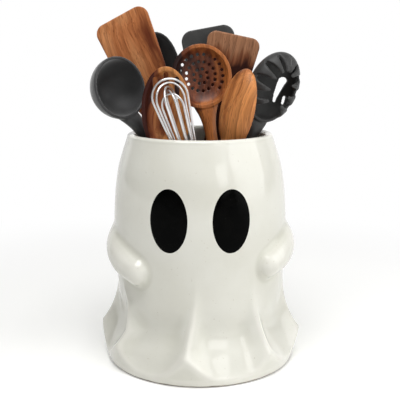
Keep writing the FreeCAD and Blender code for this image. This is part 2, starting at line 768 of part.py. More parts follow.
name = "grey_turner"
sleeve_top = f"{name}_handle_length + {name}_sleeve_long"
blade = turner(name, [
    (f"{name}_sleeve_wide / 2", f"{name}_handle_length", f"{name}_sleeve_wide * 0.12"),
    (f"{name}_sleeve_wide / 2", sleeve_top, f"{name}_neck_long * 0.8"),
    (f"{name}_shoulder_wide / 2", f"{sleeve_top} + {name}_neck_long", f"{name}_neck_long * 0.5"),
    (f"{name}_blade_wide / 2", f"{sleeve_top} + {name}_neck_long + {name}_blade_long", f"{name}_corner"),
], f"{name}_thick")
node("grey_turner_blade", joined("Part::Cut", "grey_turner_bored", blade, bore(name)))


# Whisk: a handle with a ring of sockets, and loops of wire stepped so that they pass over each other

def whisk_path(k):
    turn = math.pi * k / WHISK_LOOPS

    def stand(out, up):
        return Vector(out * math.cos(turn), out * math.sin(turn), up)

    circle = size("whisk_wire_circle") / 2
    start = size("whisk_handle_length") - size("whisk_socket_deep") + size("wire_clearance")
    leave = size("whisk_handle_length") + size("whisk_wire_wide")
    reach = size("whisk_wide") / 2 - k * size("whisk_wire_wide") * 0.5
    middle = size("whisk_length") - k * size("whisk_loop_step") - size("whisk_wide") / 2
    # The slanted run touches the crown arc, and a small arc turns it upright into the socket
    rise = middle - leave
    far = math.hypot(rise, circle)
    lean = math.asin(reach / far) - math.asin(circle / far)
    touch = math.sqrt(far ** 2 - reach ** 2)
    bend = size("whisk_wire_bend")
    knee = bend * math.tan(lean / 2)
    half = []
    for side in (1, -1):
        half.append({
            "foot": stand(side * circle, start),
            "low": stand(side * circle, leave - knee),
            "mid": stand(side * (circle + bend * (1 - math.cos(lean / 2))), leave - knee + bend * math.sin(lean / 2)),
            "high": stand(side * (circle + knee * math.sin(lean)), leave + knee * math.cos(lean)),
            "crown": stand(side * (circle + touch * math.sin(lean)), leave + touch * math.cos(lean)),
        })
    right, left = half
    edges = [Part.LineSegment(right["foot"], right["low"]), Part.Arc(right["low"], right["mid"], right["high"]),
             Part.LineSegment(right["high"], right["crown"]),
             Part.Arc(right["crown"], stand(0, middle + reach), left["crown"]),
             Part.LineSegment(left["crown"], left["high"]), Part.Arc(left["high"], left["mid"], left["low"]),
             Part.LineSegment(left["low"], left["foot"])]
    return Part.Wire([edge.toShape() for edge in edges])


for k in range(WHISK_LOOPS):
    path = whisk_path(k)
    start = path.Vertexes[0].Point
    ring = Part.Wire(Part.makeCircle(size("whisk_wire_wide") / 2, start, Vector(0, 0, 1)))
    wire = path.makePipeShell([ring], True, False)
    full = math.pi * (size("whisk_wire_wide") / 2) ** 2 * path.Length
    print(f"whisk wire {k + 1}: volume {wire.Volume:.1f} of {full:.1f}")
    node(f"whisk_wire_{k + 1}", feature(f"whisk_loop_{k + 1}", wire))

whisk_body = doc.addObject("PartDesign::Body", "whisk_handle_body")
whisk_turned = whisk_body.newObject("PartDesign::Revolution", "whisk_handle_turned")
top = "whisk_handle_length"
whisk_turned.Profile = outline(whisk_body, "whisk_handle_outline", "XZ_Plane", [
    ("0", "0"), ("whisk_handle_wide / 2", "0"), ("whisk_handle_wide / 2", f"{top} * 0.62"),
    ("whisk_waist_wide / 2", f"{top} * 0.86"), ("whisk_handle_wide / 2", top), ("0", top)])
whisk_axis = next(item for item in whisk_body.Origin.OriginFeatures if item.Role == "Z_Axis")
whisk_turned.ReferenceAxis = (whisk_axis, [""])
whisk_turned.Angle = 360
settle()
whisk_ends = [f"Edge{k}" for k, edge in enumerate(whisk_turned.Shape.Edges, start=1)
              if edge.BoundBox.ZMax < size("wire_clearance")]
whisk_round = rounded(whisk_body, "whisk_handle_foot", whisk_turned, whisk_ends, "whisk_rounding")
socket_sketch = whisk_body.newObject("Sketcher::SketchObject", "whisk_socket_outline")
socket_sketch.AttachmentSupport = (plane(whisk_body, "XY_Plane"), [""])
socket_sketch.MapMode = "FlatFace"
socket_sketch.setExpression("AttachmentOffset.Base.z", linked("whisk_handle_length"))
socket_sketch.addGeometry(Part.Circle(Vector(worth("whisk_wire_circle / 2"), 0, 0), Vector(0, 0, 1),
                                      worth("whisk_wire_wide / 2 + wire_clearance")), False)
for kind, expression in (("Radius", "whisk_wire_wide / 2 + wire_clearance"), ("DistanceX", "whisk_wire_circle / 2")):
    if kind == "Radius":
        held = socket_sketch.addConstraint(Sketcher.Constraint(kind, 0, worth(expression)))
    else:
        held = socket_sketch.addConstraint(Sketcher.Constraint(kind, -1, 1, 0, 3, worth(expression)))
    socket_sketch.setExpression(f"Constraints[{held}]", linked(expression))
socket_sketch.addConstraint(Sketcher.Constraint("PointOnObject", 0, 3, -1))
socket = whisk_body.newObject("PartDesign::Pocket", "whisk_socket")
socket.Profile = socket_sketch
socket.setExpression("Length", linked("whisk_socket_deep"))
settle()
sockets = whisk_body.newObject("PartDesign::PolarPattern", "whisk_sockets")
sockets.Originals = [socket]
sockets.Axis = (whisk_axis, [""])
sockets.Angle = 360
sockets.Occurrences = 2 * WHISK_LOOPS
whisk_body.Tip = sockets
settle()
node("whisk_handle", whisk_body)


# Stand each utensil on the crock's floor, leaning through the mouth

PIECES = {
    "whisk": ["whisk_handle"] + [f"whisk_wire_{k + 1}" for k in range(WHISK_LOOPS)],
    "ladle": ["ladle_handle", "ladle_head"],
    "pasta_server": ["pasta_server_handle", "pasta_server_head"],
    "black_spoon": ["black_spoon_handle", "black_spoon_head"],
    "grey_turner": ["grey_turner_handle", "grey_turner_blade"],
}

settle()
for name, (mouth_x, mouth_y, foot_x, foot_y, turn) in LEAN_SHARES.items():
    foot = Vector(foot_x * mouth, foot_y * mouth, floor)
    way = Vector(mouth_x * mouth, mouth_y * mouth, crock_height) - foot
    way.normalize()
    lean = Rotation(Vector(0, 0, 1), way).multiply(Rotation(Vector(0, 0, 1), turn))
    pieces = [nodes[piece] for piece in PIECES.get(name, [name])]
    for piece in pieces:
        piece.Placement = Placement(foot, lean)
    low = min(piece.Shape.optimalBoundingBox(False, False).ZMin for piece in pieces)
    seat = foot + way * ((floor + size("floor_clearance") - low) / way.z)
    for piece in pieces:
        piece.Placement = Placement(seat, lean)
    travel = (crock_height - floor) / way.z
    print(f"lean {name} seat {seat.x:.3f} {seat.y:.3f} {seat.z:.3f} "
          f"way {way.x:.6f} {way.y:.6f} {way.z:.6f} clear {travel:.1f}")

os.makedirs("parts", exist_ok=True)
for name, made in nodes.items():
    shape = made.Shape
    if shape.isNull() or not shape.isValid():
        raise RuntimeError(f"{name} has no valid shape")
    print(f"{name}: {len(shape.Solids)} solid, volume {shape.Volume:.0f}")
for name, made in nodes.items():
    made.Shape.exportStep(f"parts/{name}.step")
print(f"{len(nodes)} pieces written")
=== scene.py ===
import json
import math
import bpy
import bmesh
import numpy as np
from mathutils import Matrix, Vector


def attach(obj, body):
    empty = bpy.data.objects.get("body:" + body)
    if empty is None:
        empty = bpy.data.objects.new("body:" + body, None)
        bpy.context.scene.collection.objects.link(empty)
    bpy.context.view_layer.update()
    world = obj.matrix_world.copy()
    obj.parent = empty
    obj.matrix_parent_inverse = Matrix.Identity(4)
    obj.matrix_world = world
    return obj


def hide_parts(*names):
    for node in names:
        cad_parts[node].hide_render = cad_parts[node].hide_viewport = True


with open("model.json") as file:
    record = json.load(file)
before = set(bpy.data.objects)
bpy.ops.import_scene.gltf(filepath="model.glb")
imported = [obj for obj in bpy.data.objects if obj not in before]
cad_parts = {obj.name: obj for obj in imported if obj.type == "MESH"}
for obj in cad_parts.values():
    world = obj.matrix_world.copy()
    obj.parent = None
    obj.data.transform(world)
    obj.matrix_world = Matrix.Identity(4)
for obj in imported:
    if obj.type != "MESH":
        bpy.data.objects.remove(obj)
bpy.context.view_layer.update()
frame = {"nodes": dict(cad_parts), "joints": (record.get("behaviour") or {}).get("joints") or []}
nodes = frame["nodes"]
lifts = {j["child"]: Vector(j["axis"]).normalized() for j in frame["joints"]}
mm = 0.001
mergeWithin = 1e-6
noiseSpan = (0.3, 0.7)  # where most of a noise lies

# camera, fitted to the ellipses of the crock's rim and hem in the photograph
shot = {
    "back": 657.4, "up": 271.7, "pitch": 11.34, "focalPixels": 755.9, "imagePixels": 400,
    "sensor": 36, "clip": 10,
}

cameraData = bpy.data.cameras.new("camera")
cameraData.sensor_width = shot["sensor"]
cameraData.lens = shot["sensor"] * shot["focalPixels"] / shot["imagePixels"]
cameraData.clip_start = shot["clip"] * mm
camera = bpy.data.objects.new("camera", cameraData)
camera.location = (0, -shot["back"] * mm, shot["up"] * mm)
camera.rotation_euler = (math.radians(90 - shot["pitch"]), 0, 0)
bpy.context.scene.collection.objects.link(camera)
bpy.context.scene.camera = camera
print("camera set")


# node helpers: a value that is a socket is linked, any other is set

def newMaterial(name):
    made = bpy.data.materials.new(name)
    made.use_nodes = True
    tree = made.node_tree
    return made, tree, tree.nodes["Principled BSDF"]


def place(tree, kind, **settings):
    made = tree.nodes.new(kind)
    for key, value in settings.items():
        setattr(made, key, value)
    return made


def feed(tree, socket, value):
    if isinstance(value, bpy.types.NodeSocket):
        tree.links.new(value, socket)
    elif isinstance(value, tuple) and socket.type == "RGBA":
        socket.default_value = (*value[:3], 1)
    else:
        socket.default_value = value


def fill(tree, node, **values):
    for key, value in values.items():
        feed(tree, node.inputs[key.replace("_", " ")], value)
    return node


def noise(tree, vector, scale, detail=2, roughness=0.5, distortion=0):
    made = fill(tree, place(tree, "ShaderNodeTexNoise"), Vector=vector, Scale=scale, Detail=detail,
                Roughness=roughness, Distortion=distortion)
    return made.outputs["Fac"]


def remap(tree, vector, scale=(1, 1, 1), turn=(0, 0, 0), shift=(0, 0, 0)):
    made = fill(tree, place(tree, "ShaderNodeMapping"), Vector=vector, Scale=scale, Rotation=turn,
                Location=shift)
    return made.outputs["Vector"]


def spread(tree, value, low, high, start=0.0, end=1.0):
    made = place(tree, "ShaderNodeMapRange", interpolation_type="SMOOTHSTEP")
    fill(tree, made, Value=value, From_Min=low, From_Max=high, To_Min=start, To_Max=end)
    return made.outputs["Result"]


def calc(tree, operation, *values):
    made = place(tree, "ShaderNodeMath", operation=operation)
    for socket, value in zip(made.inputs, values):
        feed(tree, socket, value)
    return made.outputs[0]


def blendColour(tree, factor, first, second, how="MIX"):
    made = place(tree, "ShaderNodeMix", data_type="RGBA", blend_type=how)
    feed(tree, made.inputs[0], factor)
    feed(tree, made.inputs[6], first)
    feed(tree, made.inputs[7], second)
    return made.outputs[2]


def objectPlace(tree):
    return place(tree, "ShaderNodeTexCoord").outputs["Object"]


def axesOf(tree, vector):
    return fill(tree, place(tree, "ShaderNodeSeparateXYZ"), Vector=vector).outputs


def addBump(tree, shader, height, tall, strength):
    made = fill(tree, place(tree, "ShaderNodeBump"), Height=height, Distance=tall * mm, Strength=strength)
    feed(tree, shader.inputs["Normal"], made.outputs["Normal"])


def newGroup(name, inputs, outputs):
    made = bpy.data.node_groups.new(name, "ShaderNodeTree")
    for label, kind in inputs:
        made.interface.new_socket(name=label, in_out="INPUT", socket_type="NodeSocket" + kind)
    for label, kind in outputs:
        made.interface.new_socket(name=label, in_out="OUTPUT", socket_type="NodeSocket" + kind)
    return made, made.nodes.new("NodeGroupInput").outputs, made.nodes.new("NodeGroupOutput").inputs


def useGroup(tree, group, **values):
    made = place(tree, "ShaderNodeGroup", node_tree=group)
    return fill(tree, made, **values).outputs


# wood: slow heart and sap colours, growth lines, fine fibres and open pores, drawn out along the handle, and
# painted shade and light across and along the head
grainLook = {
    "swayScale": 16, "sway": 0.02,
    "streakStretch": (1, 1, 0.09), "streakDetail": (4, 0.55, 0.3), "contrast": 1.9, "contrastShift": -0.45,
    "midSpan": (0.3, 0.5), "lightSpan": (0.46, 0.7),
    "lineStretch": (1, 0.6, 0.07), "linePower": 3,
    "fibreStretch": (1, 1, 0.025), "fibreScale": 900, "fibreDetail": (2, 0.6),
    "fibreSpan": (0.25, 0.75), "fibreTone": (0.78, 1.12), "fibreTall": 0.6,
    "poreStretch": (1, 1, 0.04), "poreScale": 1300, "poreSpan": (0.6, 0.72), "poreTone": 0.5,
    "roughness": (0.34, 0.5), "bumpTall": 0.12, "bumpStrength": 0.5,
}


def makeWoodGrain():
    look = grainLook
    tree, given, out = newGroup(
        "woodGrain",
        (("Vector", "Vector"), ("Light", "Color"), ("Mid", "Color"), ("Dark", "Color"),
         ("Streaks", "Float"), ("Sideways", "Float"), ("Lengthways", "Float"), ("Lines", "Float"),
         ("Level", "Float")),
        (("Colour", "Color"), ("Roughness", "Float"), ("Height", "Float")))
    where = given["Vector"]
    sway = calc(tree, "SUBTRACT", noise(tree, where, look["swayScale"]), 0.5)
    sway = calc(tree, "MULTIPLY", sway, look["sway"])
    aside = fill(tree, place(tree, "ShaderNodeCombineXYZ"), X=sway, Y=sway)
    bent = place(tree, "ShaderNodeVectorMath", operation="ADD")
    feed(tree, bent.inputs[0], where)
    feed(tree, bent.inputs[1], aside.outputs[0])
    grain = bent.outputs[0]
    streak = noise(tree, remap(tree, grain, look["streakStretch"]), given["Streaks"], *look["streakDetail"])
    axes = axesOf(tree, where)
    # painted shade and light: the tone shifts in a straight ramp across and along the head, darker on the
    # left and lower down where less light falls
    paintedShade = calc(tree, "ADD", calc(tree, "MULTIPLY", axes["X"], given["Sideways"]),
                 calc(tree, "MULTIPLY", axes["Z"], given["Lengthways"]))
    # more contrast, still about a half
    streak = calc(tree, "MULTIPLY_ADD", streak, look["contrast"], look["contrastShift"])
    tone = calc(tree, "ADD", calc(tree, "ADD", streak, paintedShade), given["Level"])
    colour = blendColour(tree, spread(tree, tone, *look["midSpan"]), given["Dark"], given["Mid"])
    colour = blendColour(tree, spread(tree, tone, *look["lightSpan"]), colour, given["Light"])
    wave = place(tree, "ShaderNodeTexWave", wave_type="BANDS", bands_direction="X", wave_profile="SAW")
    fill(tree, wave, Vector=remap(tree, grain, look["lineStretch"]), Scale=42, Distortion=12, Detail=4,
         Detail_Scale=0.8, Detail_Roughness=0.6)
    line = calc(tree, "POWER", wave.outputs["Fac"], look["linePower"])
    colour = blendColour(tree, calc(tree, "MULTIPLY", line, given["Lines"]), colour, given["Dark"])
    fibre = noise(tree, remap(tree, grain, look["fibreStretch"]), look["fibreScale"], *look["fibreDetail"])
    fibreShade = spread(tree, fibre, *look["fibreSpan"], *look["fibreTone"])
    colour = blendColour(tree, 1.0, colour, fibreShade, "MULTIPLY")
    pore = noise(tree, remap(tree, grain, look["poreStretch"]), look["poreScale"], detail=1)
    pore = spread(tree, pore, *look["poreSpan"])
    colour = blendColour(tree, calc(tree, "MULTIPLY", pore, look["poreTone"]), colour, given["Dark"])
    feed(tree, out["Colour"], colour)
    feed(tree, out["Roughness"], spread(tree, fibre, *look["fibreSpan"], *look["roughness"]))
    feed(tree, out["Height"], calc(tree, "SUBTRACT", calc(tree, "MULTIPLY", fibre, look["fibreTall"]), pore))
    return tree


# moulded nylon and silicone: a soft bloom, fine speckle and faint scuffs
skinLook = {
    "cloudScale": 38, "cloudDetail": (4, 0.6), "cloudSpan": (0.32, 0.72), "cloudTone": 0.55,
    "speckScale": 2600, "speckTone": (0.88, 1.1),
    "scuffStretch": (1, 1, 0.12), "scuffScale": 420, "scuffDetail": (3, 0.7, 0.6),
    "scuffSpan": (0.63, 0.76), "scuffTone": 0.25, "scuffGloss": 0.08,
    "roughness": (0.46, 0.6), "sheenRoughness": 0.45, "bumpTall": 0.08, "bumpStrength": 0.4,
}


def makeMouldedSkin():
    look = skinLook
    tree, given, out = newGroup(
        "mouldedSkin", (("Vector", "Vector"), ("Body", "Color"), ("Bloom", "Color")),
        (("Colour", "Color"), ("Roughness", "Float"), ("Height", "Float")))
    where = given["Vector"]
    cloud = spread(tree, noise(tree, where, look["cloudScale"], *look["cloudDetail"]), *look["cloudSpan"])
    speck = noise(tree, where, look["speckScale"])
    scuff = noise(tree, remap(tree, where, look["scuffStretch"]), look["scuffScale"], *look["scuffDetail"])
    scuff = spread(tree, scuff, *look["scuffSpan"])
    colour = given["Body"]
    for mark, share in ((cloud, "cloudTone"), (scuff, "scuffTone")):
        colour = blendColour(tree, calc(tree, "MULTIPLY", mark, look[share]), colour, given["Bloom"])
    colour = blendColour(tree, 1.0, colour, spread(tree, speck, *noiseSpan, *look["speckTone"]), "MULTIPLY")
    feed(tree, out["Colour"], colour)
    feed(tree, out["Roughness"], calc(tree, "SUBTRACT", spread(tree, cloud, 0, 1, *look["roughness"]),
                                      calc(tree, "MULTIPLY", scuff, look["scuffGloss"])))
    feed(tree, out["Height"], speck)
    return tree


woodGrain = makeWoodGrain()
mouldedSkin = makeMouldedSkin()


# crock, an outer skin drawn by its drape, its pleats, its cut hem and its arms, in mm and degrees
crock = {
    # heights and radii of the drape
    "stations": ((0, 90), (4, 85.6), (10, 82), (19, 78.8), (32, 75.2), (62, 73.3), (118, 76), (167, 72.2),
                 (200, 62.5)),
    # each pleat: heights and azimuths along its crest, depth at the hem, half width and how fast it fades
    "pleats": ((((0, -95),), 40, 7, 3.6), (((18, -55), (38, -50), (59, -54), (73, -61)), 28, 6, 3.0),
               (((0, -8), (27, -8), (46, -6), (68, -3)), 31, 6, 3.0),
               (((10, 45), (24, 42), (46, 40), (72, 35.7)), 25, 6, 3.0),
               (((0, 84),), 35.5, 7, 3.6), (((0, 124),), 30, 7, 2.4), (((0, 166),), 30, 7, 2.4),
               (((0, -143),), 30, 7, 2.4)),
    "pleatHeight": 108, "pleatSharpness": 1.5, "pleatWide": 1.5, "pleatNarrow": 0.2,
    # the cloth between the pleats is tucked in above the hem, towards the front
    "tuck": 5.2, "tuckAt": 41, "tuckTall": 15, "tuckAround": 0.9,
    # the cone that cuts the hem
    "drumRadius": 83, "drumAngle": 15.6, "hemRound": 1.5,
    "height": 200, "foot": 1.5, "wall": 6.5, "lip": 2.6, "floor": 10, "floorRound": 5, "waist": 62,
    # rings of the profile that is spun
    "segments": 380, "rows": 128, "rimSteps": 13, "rimFrom": 0.12, "wallSteps": 40,
    "bendSteps": 8, "bendFrom": 0.15, "soleRings": (0, 30, 60), "soleEase": 0.3, "floorRings": (30, 0),
    # a radius that marks the outer wall until its skin is drawn, and the least that counts as marked
    "mark": 120, "markFrom": 110,
}
# along each arm: azimuth from the front, distance from the axis, height and half thickness
arms = {
    "left": ((-118, 54, 116, 11), (-101.2, 60.5, 114, 13.5), (-85.9, 66, 109.5, 14.5),
             (-69.8, 70.5, 102.5, 14.5), (-56, 73, 96, 13.8), (-43.5, 74, 90.5, 12)),
    "right": ((118, 54, 116, 11), (102.1, 60.5, 115, 13.5), (88, 66, 111.5, 14.5),
              (73, 70.5, 106, 14.5), (60, 73, 100.5, 13.8), (49, 74, 96, 12)),
    "blend": 4, "lineSteps": 21,
    # where an arm can be, and how it is searched for
    "low": 66, "high": 138, "front": 18, "reach": 20, "coarse": 16, "halvings": 7,
}


def smoothMin(first, second, softness):
    share = np.clip(0.5 + 0.5 * (second - first) / softness, 0, 1)
    return second + (first - second) * share - softness * share * (1 - share)


def hermite(before, after, leadSlope, tailSlope, along):
    start = 2 * along ** 3 - 3 * along ** 2 + 1
    lead, tail = along ** 3 - 2 * along ** 2 + along, along ** 3 - along ** 2
    return start * before + (1 - start) * after + lead * leadSlope + tail * tailSlope


def drapeRadius(height):
    at, out = np.array(crock["stations"], float).T
    ends = np.arange(len(at))
    before, after = np.maximum(ends - 1, 0), np.minimum(ends + 1, len(at) - 1)
    slope = (out[after] - out[before]) / (at[after] - at[before])
    span = np.clip(np.searchsorted(at, height) - 1, 0, len(at) - 2)
    rise = at[span + 1] - at[span]
    along = (height - at[span]) / rise
    return hermite(out[span], out[span + 1], rise * slope[span], rise * slope[span + 1], along)


def drapeAt(height):
    return float(drapeRadius(np.array([height]))[0])


def clothRadius(azimuth, height):
    rest = np.clip(1 - height / crock["pleatHeight"], 0, 1)
    folds = crests = 0
    for line, depth, halfWidth, fade in crock["pleats"]:
        away = (azimuth - np.interp(height, *np.array(line, float).T) + 180) % 360 - 180
        wide = halfWidth * (crock["pleatNarrow"] + (crock["pleatWide"] - crock["pleatNarrow"]) * rest)
        crest = np.exp(-np.abs(away / wide) ** crock["pleatSharpness"])
        folds, crests = folds + depth * rest ** fade * crest, crests + crest
    tuck = crock["tuck"] * np.exp(-((height - crock["tuckAt"]) / crock["tuckTall"]) ** 2)
    tuck = tuck * np.clip(0.5 + crock["tuckAround"] * np.cos(np.radians(azimuth)), 0, 1)
    cloth = drapeRadius(height) + folds - tuck * np.clip(1 - crests, 0, 1)
    drum = crock["drumRadius"] + math.tan(math.radians(crock["drumAngle"])) * height
    return smoothMin(cloth, drum, crock["hemRound"])


def around(azimuth, radius, height):
    turn = np.radians(azimuth)
    return np.stack([radius * np.sin(turn), -radius * np.cos(turn), height], -1)


def armLine(stations):
    # a denser line through the stations, so that no bend shows
    stations = np.array(stations, float)
    places = np.concatenate([around(stations[:, 0], stations[:, 1], stations[:, 2]), stations[:, 3:]], 1)
    dense = np.linspace(0, len(places) - 1, arms["lineSteps"])
    slopes = np.gradient(places, axis=0)
    span = np.clip(dense.astype(int), 0, len(places) - 2)
    return hermite(places[span], places[span + 1], slopes[span], slopes[span + 1], (dense - span)[:, None])


def armGap(points, line):
    best = np.full(len(points), np.inf)
    for a, b in zip(line[:-1], line[1:]):
        run = b[:3] - a[:3]
        share = np.clip((points - a[:3]) @ run / (run @ run), 0, 1)
        away = np.linalg.norm(points - a[:3] - share[:, None] * run, axis=1)
        best = np.minimum(best, away - (a[3] + share * (b[3] - a[3])))
    return best


def armRadius(cloth, azimuth, height, line):
    # the outermost place where the cloth and an arm, run softly together, end
    def field(radius):
        return smoothMin(radius - cloth, armGap(around(azimuth, radius, height), line), arms["blend"])

    step = arms["reach"] / arms["coarse"]
    inside, found = cloth.copy(), np.zeros(len(cloth), bool)
    for k in range(arms["coarse"] + 1):
        radius = cloth + arms["reach"] - k * step
        hit = (field(radius) < 0) & ~found
        inside = np.where(hit, radius, inside)
        found |= hit
    outside = inside + step
    for _ in range(arms["halvings"]):
        middle = (inside + outside) / 2
        within = field(middle) < 0
        inside, outside = np.where(within, middle, inside), np.where(within, outside, middle)
    return inside


def skinRadius(azimuth, height):
    cloth = clothRadius(azimuth, height)
    skin = cloth.copy()
    for side in ("left", "right"):
        outward = azimuth * np.sign(arms[side][0][0])
        near = (height > arms["low"]) & (height < arms["high"]) & (outward > arms["front"])
        withArm = armRadius(cloth[near], azimuth[near], height[near], armLine(arms[side]))
        skin[near] = np.maximum(skin[near], withArm)
    return skin


def finished(name, mesh, body, slot, *stoodFor):
    data = bpy.data.meshes.new(name)
    mesh.to_mesh(data)
    mesh.free()
    data.shade_smooth()
    made = bpy.data.objects.new(name, data)
    bpy.context.scene.collection.objects.link(made)
    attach(made, body)
    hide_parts(*stoodFor)
    return made


def crockProfile():
    # radii and heights from the middle of the sole, up the wall, over the rim and down to the floor inside
    foot, lip, rows, floor = crock["foot"], crock["lip"], crock["rows"], crock["floor"]
    thick, corner, cut = crock["wall"], crock["floorRound"], crock["drumRadius"]
    top, half, ease = crock["height"] - lip, thick / 2, foot * crock["soleEase"]
    inner = drapeAt(crock["waist"]) - thick
    sole = [(r, 0) for r in crock["soleRings"]] + [(cut - foot, 0), (cut - ease, ease)]
    outer = [(crock["mark"], foot + (top - foot) * k / rows) for k in range(rows + 1)]
    rim = [(drapeAt(top) - half + half * math.cos(a), top + lip * math.sin(a))
           for a in np.linspace(crock["rimFrom"], math.pi - crock["rimFrom"], crock["rimSteps"])]
    wall = [(drapeAt(z) - thick if z > crock["waist"] else inner, z)
            for z in np.linspace(top, floor + corner, crock["wallSteps"])]
    bend = [(inner - corner + corner * math.cos(a), floor + corner - corner * math.sin(a))
            for a in np.linspace(crock["bendFrom"], math.pi / 2, crock["bendSteps"])]
    return sole + outer + rim + wall + bend + [(r, floor) for r in crock["floorRings"]]


def makeCrock():
    mesh = bmesh.new()
    made = [mesh.verts.new((0, -r * mm, z * mm)) for r, z in crockProfile()]
    edges = [mesh.edges.new(pair) for pair in zip(made[:-1], made[1:])]
    bmesh.ops.spin(mesh, geom=made + edges, cent=(0, 0, 0), axis=(0, 0, 1), angle=math.tau,
                   steps=crock["segments"], use_merge=True, use_duplicate=False)
    bmesh.ops.remove_doubles(mesh, verts=mesh.verts, dist=mergeWithin)
    skinVerts = [v for v in mesh.verts if math.hypot(v.co.x, v.co.y) > crock["markFrom"] * mm]
    azimuth = np.degrees([math.atan2(v.co.x, -v.co.y) for v in skinVerts])
    height = np.array([v.co.z / mm for v in skinVerts])
    radius = skinRadius(azimuth, height)
    for v, spot in zip(skinVerts, around(azimuth, radius, height)):
        v.co = Vector(spot) * mm
    bmesh.ops.recalc_face_normals(mesh, faces=mesh.faces)
    return finished("glazedCrock", mesh, "crock", "white_glaze", "crock_body")


# white glaze: lighter over ridges with a painted highlight, darker in hollows where it pools and where
# painted shade falls, and it ends above a bare foot, in m
glaze = {
    "hollowPasses": 14, "hollowReach": 0.0011,
    "cloudScale": 16, "cloudDetail": (4, 0.55), "cloudTones": ((0.735, 0.725, 0.645), (0.79, 0.783, 0.712)),
    "poolShadeSpan": (0.52, 0.9), "poolShadeTone": (0.63, 0.625, 0.535),
    "ridgeHighlightSpan": (0.46, 0.1), "ridgeHighlightTone": (0.85, 0.835, 0.77), "poolShadeHighlightShare": (0, 0.5),
    "speckScale": 520, "speckSpan": (0.735, 0.78), "speckShare": (0, 0.3), "speckTone": (0.44, 0.39, 0.29),
    "bareScale": 90, "bareWander": -0.0012, "bareSpan": (0.0006, 0.0011), "bareTone": (0.2, 0.165, 0.12),
    "bareRoughness": 0.6, "glossScale": 60, "roughness": (0.045, 0.08), "ior": 1.52,
    "rippleScale": 110, "fineScale": 700, "fineShare": 0.08, "bumpTall": 0.5, "bumpStrength": 0.22,
}


def markPoolsAndShade(piece):
    # how far the surface lies below its neighbourhood, as a value of each vertex, which darkens hollows with
    # glaze pooling and painted shade and lightens ridges with a painted highlight
    data = piece.data
    count = len(data.vertices)
    spots, facing = np.empty(count * 3), np.empty(count * 3)
    data.vertices.foreach_get("co", spots)
    data.vertex_normals.foreach_get("vector", facing)
    ends = np.empty(len(data.edges) * 2, int)
    data.edges.foreach_get("vertices", ends)
    spots, facing, ends = spots.reshape(-1, 3), facing.reshape(-1, 3), ends.reshape(-1, 2)
    degree = np.bincount(ends.ravel(), minlength=count)[:, None]
    smooth = spots
    for _ in range(glaze["hollowPasses"]):
        total = np.zeros_like(smooth)
        np.add.at(total, ends[:, 0], smooth[ends[:, 1]])
        np.add.at(total, ends[:, 1], smooth[ends[:, 0]])
        smooth = total / degree
    hollow = np.einsum("ij,ij->i", smooth - spots, facing)
    poolAndShade = np.clip(0.5 + 0.5 * hollow / glaze["hollowReach"], 0, 1)
    mark = data.attributes.new("glazePoolAndShade", "FLOAT", "POINT")
    mark.data.foreach_set("value", poolAndShade)


def whiteGlaze():
    made, tree, shader = newMaterial("whiteGlaze")
    where = objectPlace(tree)
    poolAndShade = place(tree, "ShaderNodeAttribute", attribute_name="glazePoolAndShade").outputs["Fac"]
    cloud = noise(tree, where, glaze["cloudScale"], *glaze["cloudDetail"])
    base = blendColour(tree, spread(tree, cloud, *noiseSpan), *glaze["cloudTones"])
    # darker in hollows for glaze pooling and painted shade, lighter over ridges as a painted highlight
    for span, tone in (("poolShadeSpan", "poolShadeTone"), ("ridgeHighlightSpan", "ridgeHighlightTone")):
        base = blendColour(tree, spread(tree, poolAndShade, *glaze[span], *glaze["poolShadeHighlightShare"]), base, glaze[tone])
    speck = noise(tree, where, glaze["speckScale"], detail=1)
    speck = spread(tree, speck, *glaze["speckSpan"], *glaze["speckShare"])
    base = blendColour(tree, speck, base, glaze["speckTone"])
    wander = calc(tree, "MULTIPLY", noise(tree, where, glaze["bareScale"]), glaze["bareWander"])
    glazeLine = calc(tree, "ADD", axesOf(tree, where)["Z"], wander)
    bare = spread(tree, glazeLine, *glaze["bareSpan"], 1, 0)
    feed(tree, shader.inputs["Base Color"], blendColour(tree, bare, base, glaze["bareTone"]))
    gloss = spread(tree, noise(tree, where, glaze["glossScale"], detail=3), *noiseSpan, *glaze["roughness"])
    dull = calc(tree, "MULTIPLY", bare, glaze["bareRoughness"])
    feed(tree, shader.inputs["Roughness"], calc(tree, "ADD", gloss, dull))
    shader.inputs["IOR"].default_value = glaze["ior"]
    fine = calc(tree, "MULTIPLY", noise(tree, where, glaze["fineScale"], detail=1), glaze["fineShare"])
    ripple = calc(tree, "ADD", noise(tree, where, glaze["rippleScale"]), fine)
    addBump(tree, shader, ripple, glaze["bumpTall"], glaze["bumpStrength"])
    return made


glazedCrock = makeCrock()
markPoolsAndShade(glazedCrock)
glazedCrock.data.materials.append(whiteGlaze())
print("crock drawn")


# eyes, fields of thick black glaze that stand a little proud of the wall
eyes = {
    "wide": 31, "tall": 53, "height": 136.5, "apart": 50, "proud": 0.35, "buried": 0.5, "sunkShare": 0.2,
    # rings from the border inwards, as shares of the radius, and how squarely the swell ends
    "segments": 96, "rings": 7, "border": 0.05, "ringsFill": 0.97, "squareness": 16,
    "cloudScale": 90, "cloudDetail": (4, 0.6), "cloudSpan": (0.35, 0.7),
    "tones": ((0.0006, 0.0007, 0.0006), (0.0016, 0.0016, 0.0014)),
    "glossScale": 160, "roughness": (0.14, 0.26), "specular": 0.04,
    "rippleScale": 240, "bumpTall": 0.3, "bumpStrength": 0.15,
}


